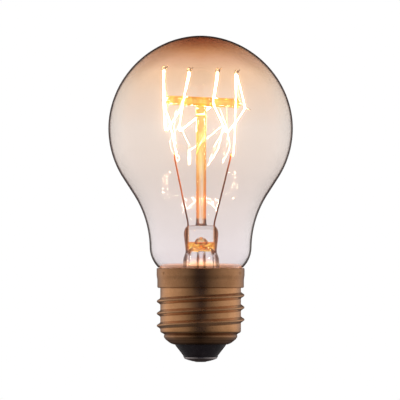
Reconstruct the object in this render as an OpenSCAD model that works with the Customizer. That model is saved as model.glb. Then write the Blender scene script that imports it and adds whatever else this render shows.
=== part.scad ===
// Filament lamp with a glass globe, a T-shaped glass support and a screw cap.
// Millimetres, +Z up. The origin is on the axis, at the lowest point of the
// centre contact.

/* [Envelope] */
// Largest diameter of the glass globe
globe_d = 54.9; // [54:0.1:56]
// Height of the crown above the tip of the centre contact
overall_h = 97.1; // [96.6:0.1:97.6]
// Roundness of the crown: 2 is a true sphere, less is a little narrower
crown_power = 1.95; // [1.9:0.01:2]
// Radius of the neck at its narrowest
neck_r = 15.15; // [14.9:0.05:15.4]
// Height of the narrowest part of the neck
neck_z = 33.6; // [33:0.1:34.2]
// Radius of the hollow sweep between globe and neck
sweep_r = 30; // [28:0.5:32]
// Radius of the shoulder that turns in to the cap
shoulder_r = 8.8; // [8.6:0.1:9]
// Glass thickness at the crown
wall_top = 0.55; // [0.4:0.05:0.7]
// Glass thickness at the sealed end of the neck
wall_neck = 0.9; // [0.8:0.05:1]

/* [Screw cap] */
// Radius at the root of the thread
root_r = 12; // [11.95:0.01:12.05]
// Height of the thread ridge
ridge_h = 1.06; // [0.9:0.01:1.1]
// Pitch of the right-hand thread
pitch = 3.629; // [3.629]
// Half width of the ridge at its foot
ridge_hw = 1.1; // [0.9:0.05:1.3]
// Thickness of the brass sheet
sheet_t = 0.3; // [0.25:0.01:0.32]
// Outer radius of the rim band's upper part
rim_r = 13.08; // [13.02:0.01:13.12]
// Outer radius of the rim band's lower part
band_r = 12.88; // [12.82:0.01:12.92]
// Radius of curvature of the centre contact
contact_curve = 11.5; // [11:0.1:12]

/* [Stem] */
// Diameter of the upright glass rod
rod_d = 3.1; // [2.9:0.05:3.2]
// Diameter of the glass crossbar
bar_d = 2.85; // [2.7:0.05:2.9]
// Height of the crossbar's axis at its left end
bar_z_left = 77.95; // [77.8:0.05:78.1]
// Height of the crossbar's axis at its right end
bar_z_right = 76.9; // [76.8:0.05:77]
// Outer diameter of the pump tube
pump_d = 2.8; // [2.6:0.1:3]

/* [Wires] */
// Radius of the coiled filament
coil_r = 0.22; // [0.15:0.01:0.24]
// Radius of the support hooks' wire
hook_r = 0.13; // [0.1:0.01:0.14]
// Radius of the loop of a hook
loop_r = 0.5; // [0.45:0.01:0.55]
// Radius of the inner lead wires
lead_r = 0.25; // [0.22:0.01:0.27]
// Radius of the side lead
side_r = 0.13; // [0.1:0.01:0.14]
// Radius of the fuse wire to the centre contact
fuse_r = 0.15; // [0.1:0.01:0.2]

/* [Hidden] */
$fn = 64;

// ---- Vectors, rings and tubes ------------------------------------------

function unit(v) = v / norm(v);

// Directions along a path: the mean of the two neighbouring runs
function headings(p) = [for (i = [0 : len(p) - 1])
  i == 0 ? unit(p[1] - p[0])
  : i == len(p) - 1 ? unit(p[i] - p[i - 1])
  : unit(unit(p[i + 1] - p[i]) + unit(p[i] - p[i - 1]))];

function any_normal(t) = abs(t[1]) < 0.8
  ? unit(cross(t, [0, 1, 0])) : unit(cross(t, [1, 0, 0]));

// Normals carried along the path without twist
function carried(t, i = 0, n = [0, 0, 0], out = []) = i == len(t) ? out
  : let (m = i == 0 ? any_normal(t[0]) : unit(n - (n * t[i]) * t[i]))
    carried(t, i + 1, m, concat(out, [m]));

// A round wire along the points of a path. r is one radius or one per point.
module wire(path, r, sides = 8) {
  t = headings(path);
  n = carried(t);
  last = len(path) - 1;
  pts = [for (i = [0 : last]) let (b = cross(t[i], n[i]), q = is_list(r) ? r[i] : r)
    for (k = [0 : sides - 1]) let (a = 360 * k / sides)
      path[i] + q * (cos(a) * n[i] + sin(a) * b)];
  faces = concat(
    [[for (k = [0 : sides - 1]) k]],
    [for (i = [0 : last - 1]) for (k = [0 : sides - 1])
      let (j = (k + 1) % sides, u = i * sides, v = (i + 1) * sides)
        [u + k, v + k, v + j, u + j]],
    [[for (k = [sides - 1 : -1 : 0]) last * sides + k]]);
  polyhedron(points = pts, faces = faces, convexity = 8);
}

// Points on an arc round centre c, from angle a0 to a1, in the plane of u and v
function bow(c, r, a0, a1, u, v, n) = [for (i = [0 : n])
  let (a = a0 + (a1 - a0) * i / n) c + r * (cos(a) * u + sin(a) * v)];

X = [1, 0, 0];
Y = [0, 1, 0];
Z = [0, 0, 1];

// ---- Glass envelope ----------------------------------------------------

globe_r = globe_d / 2;
globe_z = overall_h - globe_r - 0.05;
crown_h = overall_h - globe_z;

// The hollow sweep's centre, and the straight run that touches globe and sweep
sweep_x = neck_r + sweep_r;
gap = norm([sweep_x, neck_z - globe_z]);
lean = atan2(neck_z - globe_z, sweep_x) + acos((globe_r + sweep_r) / gap);

shoulder_x = neck_r - shoulder_r;
shoulder_z = neck_z + 0.7;
// The sweep ends where it has come down to the shoulder
turn = asin((shoulder_z - neck_z) / sweep_r);
// Where the shoulder ends and the glass runs straight down inside the shell
seal_r = 11.3;
shoulder_end = acos((seal_r + 0.15 - shoulder_x) / shoulder_r);
seal_z = 19.6;

// Radius of the crown at height h above the globe's centre
function crown(h) = globe_r * pow(1 - pow(h / crown_h, crown_power), 1 / crown_power);

envelope_outline = concat(
  [for (i = [0 : 24]) let (h = crown_h * sin(90 - 90 * i / 24)) [i == 0 ? 0 : crown(h), globe_z + h]],
  [for (i = [1 : 12]) let (a = lean * i / 12) [globe_r * cos(a), globe_z + globe_r * sin(a)]],
  [for (i = [0 : 14]) let (a = 180 + lean - (lean + turn) * i / 14) [sweep_x + sweep_r * cos(a), neck_z + sweep_r * sin(a)]],
  [for (i = [1 : 12]) let (a = -shoulder_end * i / 12) [shoulder_x + shoulder_r * cos(a), shoulder_z + shoulder_r * sin(a)]],
  [[seal_r, shoulder_z - shoulder_r * sin(shoulder_end) - 0.6], [seal_r, seal_z]]);

// Wall thickness by height: thicker only where the neck is sealed, inside the cap
function wall(z) = wall_neck + (wall_top - wall_neck) * min(1, max(0, (z - 22) / 9));

// The inner surface, set in along the outline's normals
function inset(p) = let (m = len(p) - 1) [for (i = [0 : m])
  let (d = i == 0 ? [1, 0] : i == m ? [0, -1] : unit(unit(p[i + 1] - p[i]) + unit(p[i] - p[i - 1])))
    i == 0 ? [0, p[0][1] - wall(p[0][1])]
    : [p[i][0] + wall(p[i][1]) * d[1], p[i][1] - wall(p[i][1]) * d[0]]];

module glass_envelope() {
  color([0.93, 0.78, 0.66, 0.45])
  rotate_extrude($fn = 96)
    let (q = inset(envelope_outline), m = len(envelope_outline) - 1)
      polygon(concat(envelope_outline, [for (i = [m : -1 : 0]) q[i]]));
}

// ---- Stem --------------------------------------------------------------

// Everything on the stem stands this much beside the lamp's axis
stem_x = 0.16;
lead_x = 3.9;
// The two wires stand a little closer together under the press
low_x = 3.7;

// Where a wire runs through the press, from the top down
function seal_path(s) = [[stem_x + s * lead_x, 0, 39.8], [stem_x + s * lead_x, 0, 35], [stem_x + s * low_x, 0, 32.4]];

// One closed ring, round where power is 2 and flatter where it is more
function oval(z, a, b, power, sides) = [for (k = [0 : sides - 1])
  let (t = 360 * k / sides, c = cos(t), s = sin(t))
    [stem_x + a * sign(c) * pow(abs(c), 2 / power), b * sign(s) * pow(abs(s), 2 / power), z]];

// Height, half width, half depth and squareness, from the rim to the press's top
flare_outer = [
  [20.0, 10.22, 10.22, 2], [20.5, 10.22, 10.22, 2], [20.9, 9.4, 9.4, 2], [21.8, 8.0, 8.0, 2],
  [23.2, 6.8, 6.8, 2], [25.2, 6.0, 6.0, 2], [27.5, 5.6, 5.6, 2], [29.3, 5.4, 5.4, 2],
  [30.5, 5.3, 4.9, 2], [31.7, 5.0, 4.0, 2.1], [32.9, 4.67, 3.0, 2.3], [34.4, 4.78, 2.6, 2.6],
  [36.8, 5.05, 2.5, 2.8], [38.2, 5.15, 2.45, 2.8], [39.4, 4.95, 2.3, 2.8], [40.2, 4.5, 2.05, 2.6],
  [40.6, 4.0, 1.8, 2.4]];
flare_inner = [
  [20.0, 9.4, 9.4, 2], [20.6, 8.6, 8.6, 2], [21.5, 7.2, 7.2, 2], [23.2, 5.8, 5.8, 2],
  [25.2, 5.0, 5.0, 2], [27.5, 4.6, 4.6, 2], [29.5, 4.4, 4.4, 2], [31.2, 4.15, 3.6, 2],
  [32.4, 3.6, 2.4, 2.1], [33.4, 3.2, 1.5, 2.2], [33.9, 2.8, 0.9, 2.2]];

// A hollow body between two stacks of rings, open at the bottom
module hollow_loft(outer, inner, sides) {
  no = len(outer);
  ni = len(inner);
  pts = concat(
    [for (q = outer) each oval(q[0], q[1], q[2], q[3], sides)],
    [for (q = inner) each oval(q[0], q[1], q[2], q[3], sides)]);
  w = no * sides;
  faces = concat(
    [for (i = [0 : no - 2]) for (k = [0 : sides - 1]) let (j = (k + 1) % sides, u = i * sides, v = u + sides)
      [u + k, v + k, v + j, u + j]],
    [for (i = [0 : ni - 2]) for (k = [0 : sides - 1]) let (j = (k + 1) % sides, u = w + i * sides, v = u + sides)
      [u + k, u + j, v + j, v + k]],
    [for (k = [0 : sides - 1]) let (j = (k + 1) % sides) [k, j, w + j, w + k]],
    [[for (k = [sides - 1 : -1 : 0]) (no - 1) * sides + k]],
    [[for (k = [0 : sides - 1]) w + (ni - 1) * sides + k]]);
  polyhedron(points = pts, faces = faces, convexity = 6);
}

module stem_flare() {
  color([0.96, 0.86, 0.74, 0.6])
  difference() {
    hollow_loft(flare_outer, flare_inner, 32);
    // seat of the rod
    translate([stem_x, 0, 38]) cylinder(d = rod_d, h = 4, $fn = 32);
    // seat of the pump tube, its bore, the blown bubble and the pump hole
    translate([stem_x, 0, 31]) cylinder(d = pump_d, h = 3.4, $fn = 32);
    translate([stem_x, 0, 0]) rotate_extrude($fn = 32)
      polygon([[0, 34], [0.8, 34], [0.8, 34.6], [1.6, 35], [1.9, 35.6], [1.7, 36.25], [1.1, 36.95], [0, 37.3]]);
    translate([stem_x, 1, 36]) rotate([-90, 0, 0]) cylinder(r = 0.6, h = 4, $fn = 24);
    // the two wires' seats
    for (s = [-1, 1]) wire(concat([[stem_x + s * lead_x, 0, 42]], seal_path(s), [[stem_x + s * low_x, 0, 31]]), lead_r + 0.03, 12);
  }
}

module exhaust_tube() {
  color([0.95, 0.9, 0.88, 0.6])
  translate([stem_x, 0, 0])
  rotate_extrude($fn = 32)
    polygon([[0, 12.6], [0.35, 12.6], [0.9, 13.2], [pump_d / 2, 14.6], [pump_d / 2, 34.4],
      [0.8, 34.4], [0.8, 15.4], [0.3, 14.6], [0, 14.4]]);
}

bar_x_left = -10.3;
bar_x_right = 12;
bar_lean = atan2(bar_z_right - bar_z_left, bar_x_right - bar_x_left);
bar_len = norm([bar_x_right - bar_x_left, bar_z_right - bar_z_left]);

// Height of the crossbar's axis at a given x
function bar_z(x) = bar_z_left + (x - bar_x_left) * tan(bar_lean);

module bar_solid() {
  translate([bar_x_left, 0, bar_z_left])
    rotate([0, 90 - bar_lean, 0])
      rotate_extrude($fn = 32)
        polygon([[0, 0], [bar_d * 0.33, 0], [bar_d * 0.45, 0.15], [bar_d / 2, 0.45],
          [bar_d / 2, bar_len - 0.45], [bar_d * 0.45, bar_len - 0.15], [bar_d * 0.33, bar_len], [0, bar_len]]);
}

module arbor_rod() {
  color([0.98, 0.72, 0.3, 0.7])
  difference() {
    translate([stem_x, 0, 38]) cylinder(d = rod_d, h = bar_z(stem_x) - 38, $fn = 32);
    translate([bar_x_left - 1, 0, bar_z(bar_x_left - 1)])
      rotate([0, 90 - bar_lean, 0]) cylinder(d = bar_d, h = bar_len + 2, $fn = 32);
  }
}

module arbor_crossbar() {
  color([0.98, 0.68, 0.22, 0.8])
  difference() {
    bar_solid();
    for (i = [0 : 3]) translate([top_foot[i], 0, bar_z(top_foot[i]) + 0.3]) cylinder(r = hook_r + 0.01, h = 3, $fn = 16);
    for (i = [0 : 2]) translate([low_foot[i], 0, bar_z(low_foot[i]) - 3.3]) cylinder(r = hook_r + 0.01, h = 3, $fn = 16);
    for (i = [0 : 2]) translate([mid_foot[i], -2, bar_z(mid_foot[i])]) rotate([-90, 0, 0]) cylinder(r = hook_r + 0.01, h = 4, $fn = 16);
    translate([bar_x_right - 1, 0, bar_z(bar_x_right - 1)])
      rotate([0, 90, 0]) cylinder(r = hook_r + 0.01, h = 3, $fn = 16);
  }
}

// ---- Filament and its supports -----------------------------------------

// Upper bends, lower bends, and the kinks beside the crossbar, all by hand
top_bend = [[-10.9, 0, 86.85], [-3.4, 0, 86.35], [5.05, 0, 86.2], [10.65, 0, 85.65]];
low_bend = [[-10.15, -1.9, 68.8], [-6, 2.1, 68.7], [7.9, -1.9, 68.3]];
kink_1_back = [-10.75, 1.9, 76.3];
kink_1_front = [-11.05, -1.3, 77.9];
kink_2_front = [-5.4, -1.9, 76.2];
kink_2_back = [-5.4, 1.9, 76.2];
kink_3_front = [3.65, -1.9, 77.1];
kink_3_back = [3.6, 1.9, 76.45];
kink_4 = [13.3, -0.5, 75.5];
// How far each upper bend is turned from the front-to-back direction
tilt = [0.25, 0.42, 0.45, 0.75];
coil_end_left = [-7.05, 0, 61.3];
coil_end_right = [9.7, 0, 61.3];

// Where each hook leaves the crossbar
top_foot = [-9.95, -4.5, 3.85, 11.3];
mid_foot = [-9.0, -5.65, 2.85];
low_foot = [-9.9, -6.1, 7.7];
// Where each upright of a top hook passes on its way up
top_pass = [[-10.55, 0, 80.7], [-4.35, 0, 80.7], [4.1, 0, 80.6], [11.15, 0, 80.3]];

// The coil goes over a top hook from back to front, or from front to back
function over(i, s, r = 0.6) = bow(top_bend[i] - [0, 0, r], r, 0, 180, s * unit([tilt[i], 1, 0]), Z, 6);
// It goes under a bottom hook from left to right
function under(p, r = 0.45) = bow(p + [0, 0, r], r, 180, 360, X, Z, 6);

// The last point of the coil before its right end
next_right = [10.2, -1.1, 68];

filament_path = concat(
  [coil_end_left, [-9.5, 1.3, 72.8], kink_1_back],
  over(0, 1),
  [kink_1_front],
  under(low_bend[0]),
  [kink_2_front],
  over(1, -1),
  [kink_2_back],
  under(low_bend[1]),
  [kink_3_back],
  over(2, 1),
  [kink_3_front],
  under(low_bend[2]),
  [[10.75, -1.3, 71.6], kink_4],
  over(3, 1),
  [[10.55, -1.9, 78.6], [10.3, -1.8, 75], next_right, coil_end_right]);

module filament() {
  color([1, 0.86, 0.5])
  wire(filament_path, coil_r, 8);
}

// A hook that stands on the crossbar and curls once round the coil, square to
// the bend, in a narrow upright loop with its tail out to the right
module top_hook(i) {
  f = [top_foot[i], 0, bar_z(top_foot[i]) + 0.35];
  p = top_bend[i];
  v = unit([1, -tilt[i], 0]);
  w = unit([tilt[i], 1, 0]);
  color([0.75, 0.6, 0.45])
  wire(concat(
    [f, f + [0, 0, 1.15], top_pass[i]],
    [for (k = [0 : 10]) let (a = -80 - 330 * k / 10)
      p + loop_r * 1.15 * cos(a) * v + (0.15 - 0.3 * k / 10) * w + [0, 0, 0.25 + loop_r * 1.9 * sin(a)]],
    [p + 0.85 * v - 0.17 * w + [0, 0, 0.75], p + 1.35 * v - 0.18 * w + [0, 0, 1.3]]), hook_r, 6);
}

module top_hook_1() { top_hook(0); }
module top_hook_2() { top_hook(1); }
module top_hook_3() { top_hook(2); }
module top_hook_4() { top_hook(3); }

// A hook that hangs from the crossbar and curls under the coil
module bottom_hook(i, away) {
  f = [low_foot[i], 0, bar_z(low_foot[i]) - 0.35];
  p = low_bend[i];
  color([0.72, 0.55, 0.42])
  wire(concat(
    [f, f - [0, 0, 1.6]],
    bow(p, loop_r, 20, -190, away * Y, Z, 8),
    [p + [0, -away * 0.75, 0.5]]), hook_r, 6);
}

module bottom_hook_1() { bottom_hook(0, 1); }
module bottom_hook_2() { bottom_hook(1, -1); }
module bottom_hook_3() { bottom_hook(2, 1); }

// A wire through the crossbar, with its ends curled round the coil's kinks
module middle_hook(path) {
  color([0.74, 0.58, 0.44])
  wire(path, hook_r, 6);
}

// The straight part inside the crossbar, from front to back
function through(x) = [[x, -1.55, bar_z(x)], [x, -1.2, bar_z(x)], [x, 1.2, bar_z(x)], [x, 1.55, bar_z(x)]];

module middle_hook_1() {
  // both curls reach past the crossbar's left end
  x = mid_foot[0];
  middle_hook(concat(
    bow(kink_1_front, loop_r, 140, 310, X, Y, 7),
    [[-10.2, -1.75, 77.88], [-9.4, -1.78, 77.88]],
    through(x),
    [[-9.25, 1.8, 77.4], [-9.85, 1.9, 76.8]],
    bow(kink_1_back + [0, 0, 0.1], loop_r, 10, 215, X, Y, 7)));
}
module middle_hook_2() {
  x = mid_foot[1];
  middle_hook(concat(
    bow(kink_2_front + [0, 0, 0.1], loop_r, 30, -170, X, Y, 8),
    [[x - 0.1, -1.85, 76.9]], through(x), [[x - 0.1, 1.85, 76.9]],
    bow(kink_2_back + [0, 0, 0.1], loop_r, 170, -30, X, Y, 8)));
}
module middle_hook_3() {
  x = mid_foot[2];
  middle_hook(concat(
    bow([kink_3_front[0], kink_3_front[1], bar_z(x)], loop_r, 30, -170, X, Y, 8),
    [[x, -1.75, bar_z(x)]], through(x), [[x, 1.85, 77]],
    bow(kink_3_back + [0, 0, 0.2], loop_r, 170, -30, X, Y, 8)));
}
module middle_hook_4() {
  // leaves the crossbar's right end and passes behind the coil's outer kink
  z = bar_z(bar_x_right - 1);
  middle_hook(concat(
    [[bar_x_right - 0.95, 0, z], [bar_x_right + 0.15, 0, z], [12.5, -0.1, z - 0.4], [12.75, -0.25, z - 1]],
    bow(kink_4, loop_r, 160, 20, X, Y, 5),
    [[14.2, -0.6, 75.3], [14.8, -0.8, 75.1]]));
}

// ---- Leads -------------------------------------------------------------

// A vertical foot in the press, a long slanting run, and a tip that closes
// round the back of the coil's leg from the left
module inner_lead(s, knee, coil, next, reach) {
  p = coil + 0.5 * unit(next - coil);
  color([0.72, 0.42, 0.28])
  wire(concat(
    [[stem_x + s * lead_x, 0, 39.8], [stem_x + s * lead_x, 0, 40.9], knee, p - [reach, 0, 1.1], p - [reach, 0, 0.4]],
    [for (k = [0 : 6]) let (a = 180 - 25 * k, q = reach + (0.47 - reach) * k / 6) p + q * (cos(a) * X + sin(a) * Y)]),
    concat([lead_r, lead_r, lead_r, lead_r, 0.22], [for (k = [0 : 6]) 0.2]), 10);
}
module inner_lead_left() { inner_lead(-1, [-3.8, 0, 41.8], coil_end_left, [-9.5, 1.3, 72.8], 0.6); }
module inner_lead_right() { inner_lead(1, [4.15, 0, 41.8], coil_end_right, next_right, 0.85); }

module seal_wire(s) {
  color([0.75, 0.35, 0.2])
  wire(seal_path(s), lead_r, 10);
}
module seal_wire_left() { seal_wire(-1); }
module seal_wire_right() { seal_wire(1); }

module side_lead() {
  color([0.72, 0.45, 0.2])
  wire([[stem_x - low_x, 0, 32.37], [stem_x - low_x, 0, 26], [-3.2, 1.5, 21], [-2, 6, 17.6], [-0.6, 9.6, 17],
    [0, 11.1, 17.6], [0, 11.45, 18.8], [0, 11.45, 26.2], [0, 11.75, 26.9], [0, 12.4, 27.35], [0, 12.7, 27.66],
    [0, 13.05, 27.68], [0, 13.3, 27.5], [0, 13.32, 27.2]], side_r, 8);
}

module centre_lead() {
  color([0.78, 0.74, 0.68])
  wire([[stem_x + low_x, 0, 32.37], [stem_x + low_x, 0, 24], [3.4, 0.4, 18], [2.6, 0.6, 12], [0.9, 0.3, 7],
    [0.2, 0, 4.5], [0, 0, 3], [0, 0, 1.3]], fuse_r, 8);
}

// ---- Cap ---------------------------------------------------------------

// Inner face of the shell's turned-in bottom edge, from the mouth outwards
shell_floor = [[7.62, 5.2], [7.62, 5.52], [8.6, 5.82], [9.15, 6.12], [9.78, 6.66], [10.12, 6.95], [10.48, 7.32],
  [10.58, 7.58], [10.58, 7.8], [10.42, 8.15]];

// Distance along the axis from the nearest crest, and that crest's height
crest_z = 8.986;
function off_crest(t, z) = let (u = z - crest_z - pitch * t / 360) u - pitch * round(u / pitch);
function ease(u) = let (v = min(1, max(0, u))) v * v * (3 - 2 * v);
function thread_r(t, z) = let (d = off_crest(t, z), c = z - d,
  run = ease((c - crest_z) / (pitch / 2)) * (1 - ease((c - crest_z - 3 * pitch) / (pitch / 2))))
    root_r + (abs(d) < ridge_hw ? ridge_h * run * (0.5 + 0.5 * cos(180 * d / ridge_hw)) : 0);

// The rolled thread as a thin sheet: an outer and an inner grid of points
module rolled_thread(z0, z1, rows, sides) {
  pts = [for (w = [0, sheet_t]) for (i = [0 : rows]) let (z = z0 + (z1 - z0) * i / rows)
    for (k = [0 : sides - 1]) let (t = 360 * k / sides, r = thread_r(t, z) - w) [r * cos(t), r * sin(t), z]];
  m = (rows + 1) * sides;
  faces = concat(
    [for (i = [0 : rows - 1]) for (k = [0 : sides - 1]) let (j = (k + 1) % sides, u = i * sides, v = u + sides)
      [u + k, v + k, v + j, u + j]],
    [for (i = [0 : rows - 1]) for (k = [0 : sides - 1]) let (j = (k + 1) % sides, u = m + i * sides, v = u + sides)
      [u + k, u + j, v + j, v + k]],
    [for (k = [0 : sides - 1]) let (j = (k + 1) % sides) [k, j, m + j, m + k]],
    [for (k = [0 : sides - 1]) let (j = (k + 1) % sides, u = rows * sides) [u + k, m + u + k, m + u + j, u + j]]);
  polyhedron(points = pts, faces = faces, convexity = 8);
}

// Three punch marks that fix the rim to the cement: a ball on the band's radius
mark_z = 26.4;
module mark(r, out) {
  for (a = [-147, -26.5, 94.5]) rotate(a) translate([out, 0, mark_z]) sphere(r = r, $fn = 20);
}

module screw_shell() {
  color([0.62, 0.45, 0.28])
  difference() {
    union() {
      intersection() {
        mark(0.7, rim_r + 0.25);
        cylinder(r = rim_r - 0.02, h = 40, $fn = 96);
      }
      rolled_thread(9.3, 22.25, 44, 48);
      // rim band, with its web to the thread
      rotate_extrude($fn = 96)
        polygon([[root_r - sheet_t - 0.1, 22.05], [band_r - 0.4, 22.05], [band_r - 0.1, 22.2], [band_r, 22.45],
          [band_r, 25], [rim_r, 25.3], [rim_r, 27.6], [rim_r - 0.05, 27.82], [rim_r - 0.2, 27.95],
          [rim_r - sheet_t, 27.85], [rim_r - sheet_t, 25.4], [band_r - sheet_t, 25.1], [band_r - sheet_t, 22.5],
          [band_r - sheet_t - 0.1, 22.4], [root_r - sheet_t - 0.1, 22.4]]);
      // taper, bead and turned-in bottom edge
      rotate_extrude($fn = 96)
        polygon(concat(
          [[11.6, 9.6], [12.03, 9.6], [12.03, 9.05], [11.7, 8.75], [11.15, 8.45], [10.78, 8.15], [10.92, 7.85],
           [10.92, 7.5], [10.78, 7.2], [10.35, 6.65], [10, 6.38], [9.35, 5.85], [8.75, 5.5], [7.9, 5.2]],
          shell_floor,
          [[10.75, 8.6], [11.35, 9.05], [11.6, 9.35]]));
    }
    mark(0.55, rim_r + 0.35);
    // notch in the rim for the side lead
    translate([-0.3, 12.5, 27.4]) cube([0.6, 1, 1]);
  }
}

// Height of the contact's outer face at radius r
function dome(r) = r * r / (2 * contact_curve);
contact_t = 0.35;

module insulator() {
  color([0.1, 0.08, 0.09])
  rotate_extrude($fn = 96)
    polygon(concat(
      [[1.25, dome(1.25) + contact_t]],
      [for (r = [1.65, 2.5, 3.6, 4.6]) [r, dome(r) + contact_t]],
      [[4.95, 1.36], [5.08, 1.46], [5.16, 1.8], [5.32, 2.12], [7.5, 4.93]],
      shell_floor,
      [[9.6, 8.9], [8.6, 8.6], [4, 6.2], [2.2, 5.4], [1.25, 5.4]]));
}

module centre_contact() {
  color([0.35, 0.24, 0.18])
  rotate_extrude($fn = 96)
    polygon(concat(
      [for (r = [1.1, 1.65, 2.5, 3.6, 4.6]) [r, dome(r)]],
      [[4.85, 1.08], [4.93, 1.22], [4.95, 1.36]],
      [for (r = [4.6, 3.6, 2.5, 1.65, 1.25]) [r, dome(r) + contact_t]],
      [[1.1, dome(1.25) + contact_t]]));
}

module tip_solder() {
  color([0.55, 0.5, 0.47])
  rotate_extrude($fn = 96)
    polygon([[0, 0], [1.3, 0], [1.55, 0.04], [1.65, dome(1.65)], [1.1, dome(1.1)], [1.1, 1], [0.8, 1.3], [0, 1.3]]);
}

module rim_solder() {
  color([0.6, 0.58, 0.55])
  difference() {
    translate([0, 12.95, 27.05]) sphere(r = 0.65, $fn = 32);
    cylinder(r = rim_r, h = 40, $fn = 96);
    translate([0, 13.32, 27.15]) cylinder(r = side_r + 0.02, h = 2, $fn = 16);
    translate([-1, 12.5, 27.45]) cube([2, 2, 1]);
  }
}

module basing_cement() {
  color([0.78, 0.66, 0.5])
  difference() {
    rotate_extrude($fn = 96)
      polygon(concat(
        [[seal_r, 20.6], [root_r - sheet_t - 0.12, 20.6], [root_r - sheet_t - 0.12, 22.4], [band_r - sheet_t - 0.1, 22.4],
         [band_r - sheet_t, 22.5], [band_r - sheet_t, 27.35], [12.3, 27.45]],
        [for (i = [11 : 12]) let (a = -shoulder_end * i / 12) [shoulder_x + shoulder_r * cos(a), shoulder_z + shoulder_r * sin(a)]],
        [[seal_r, shoulder_z - shoulder_r * sin(shoulder_end) - 0.6]]));
    // groove for the side lead
    translate([-0.3, 11, 20]) cube([0.6, 3, 9]);
  }
}

// ---- Assembly ----------------------------------------------------------

glass_envelope();
stem_flare();
exhaust_tube();
arbor_rod();
arbor_crossbar();
top_hook_1();
top_hook_2();
top_hook_3();
top_hook_4();
middle_hook_1();
middle_hook_2();
middle_hook_3();
middle_hook_4();
bottom_hook_1();
bottom_hook_2();
bottom_hook_3();
filament();
inner_lead_left();
inner_lead_right();
seal_wire_left();
seal_wire_right();
side_lead();
centre_lead();
basing_cement();
screw_shell();
insulator();
centre_contact();
tip_solder();
rim_solder();
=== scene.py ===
import math
import bpy
import bmesh
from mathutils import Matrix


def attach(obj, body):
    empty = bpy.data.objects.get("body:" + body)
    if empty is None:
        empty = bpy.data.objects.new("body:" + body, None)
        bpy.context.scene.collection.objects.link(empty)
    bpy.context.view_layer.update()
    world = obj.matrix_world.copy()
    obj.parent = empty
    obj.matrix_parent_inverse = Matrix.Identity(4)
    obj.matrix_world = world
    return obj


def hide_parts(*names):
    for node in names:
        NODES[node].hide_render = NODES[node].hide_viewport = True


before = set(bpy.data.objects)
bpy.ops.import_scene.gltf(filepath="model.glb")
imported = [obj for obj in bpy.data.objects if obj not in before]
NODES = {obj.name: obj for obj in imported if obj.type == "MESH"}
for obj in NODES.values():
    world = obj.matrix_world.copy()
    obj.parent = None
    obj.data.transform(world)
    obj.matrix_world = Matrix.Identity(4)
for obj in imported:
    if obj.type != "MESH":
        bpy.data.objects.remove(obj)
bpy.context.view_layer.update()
MM = 0.001

# ---------------------------------------------------------------------------
# Camera: level, at the photograph's distance and height.
# ---------------------------------------------------------------------------
DIST = 5.0
WIDE = 0.1190  # width of the view at the lamp's axis
cam = bpy.data.objects.new("camera", bpy.data.cameras.new("camera"))
bpy.context.scene.collection.objects.link(cam)
cam.data.sensor_width = 36.0
cam.data.lens = 36.0 * DIST / WIDE
cam.location = (-0.00018, -DIST, 0.0482)
cam.rotation_euler = (math.radians(90), 0, 0)
cam.data.clip_start = 0.05
cam.data.clip_end = 10
bpy.context.scene.camera = cam

# ---------------------------------------------------------------------------
# Vectors and paths, in millimetres
# ---------------------------------------------------------------------------


def add(a, b):
    return (a[0] + b[0], a[1] + b[1], a[2] + b[2])


def sub(a, b):
    return (a[0] - b[0], a[1] - b[1], a[2] - b[2])


def mul(a, s):
    return (a[0] * s, a[1] * s, a[2] * s)


def dot(a, b):
    return a[0] * b[0] + a[1] * b[1] + a[2] * b[2]


def cross(a, b):
    return (a[1] * b[2] - a[2] * b[1], a[2] * b[0] - a[0] * b[2], a[0] * b[1] - a[1] * b[0])


def norm(a):
    return math.sqrt(dot(a, a))


def unit(a):
    return mul(a, 1 / max(norm(a), 1e-12))


def mix(a, b, t):
    return a + (b - a) * t


X, Y, Z = (1, 0, 0), (0, 1, 0), (0, 0, 1)


def bow(c, r, a0, a1, u, v, n):
    out = []
    for i in range(n + 1):
        a = math.radians(a0 + (a1 - a0) * i / n)
        out.append(add(c, add(mul(u, r * math.cos(a)), mul(v, r * math.sin(a)))))
    return out


def resample(path, step):
    """Points at even distances along a polyline."""
    out = [path[0]]
    left = step
    for a, b in zip(path, path[1:]):
        d = norm(sub(b, a))
        at = left
        while at <= d:
            out.append(add(a, mul(sub(b, a), at / d)))
            at += step
        left = at - d
    if norm(sub(out[-1], path[-1])) < step * 0.5:
        out[-1] = path[-1]
    else:
        out.append(path[-1])
    return out


def soften(path, width, rounds):
    """Rounds the corners of an evenly sampled path and keeps its ends."""
    p = list(path)
    for _ in range(rounds):
        q = [p[0]]
        for i in range(1, len(p) - 1):
            w = min(width, i, len(p) - 1 - i)
            s = (0.0, 0.0, 0.0)
            for k in range(-w, w + 1):
                s = add(s, p[i + k])
            q.append(mul(s, 1 / (2 * w + 1)))
        q.append(p[-1])
        p = q
    return p


def frames(path):
    """Tangent and two normals at each point, carried along without twist."""
    m = len(path)
    out = []
    n = None
    for i in range(m):
        t = unit(sub(path[min(i + 1, m - 1)], path[max(i - 1, 0)]))
        if n is None:
            n = unit(cross(t, Y if abs(t[1]) < 0.8 else X))
        n = unit(sub(n, mul(t, dot(n, t))))
        out.append((t, n, cross(t, n)))
    return out


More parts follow.
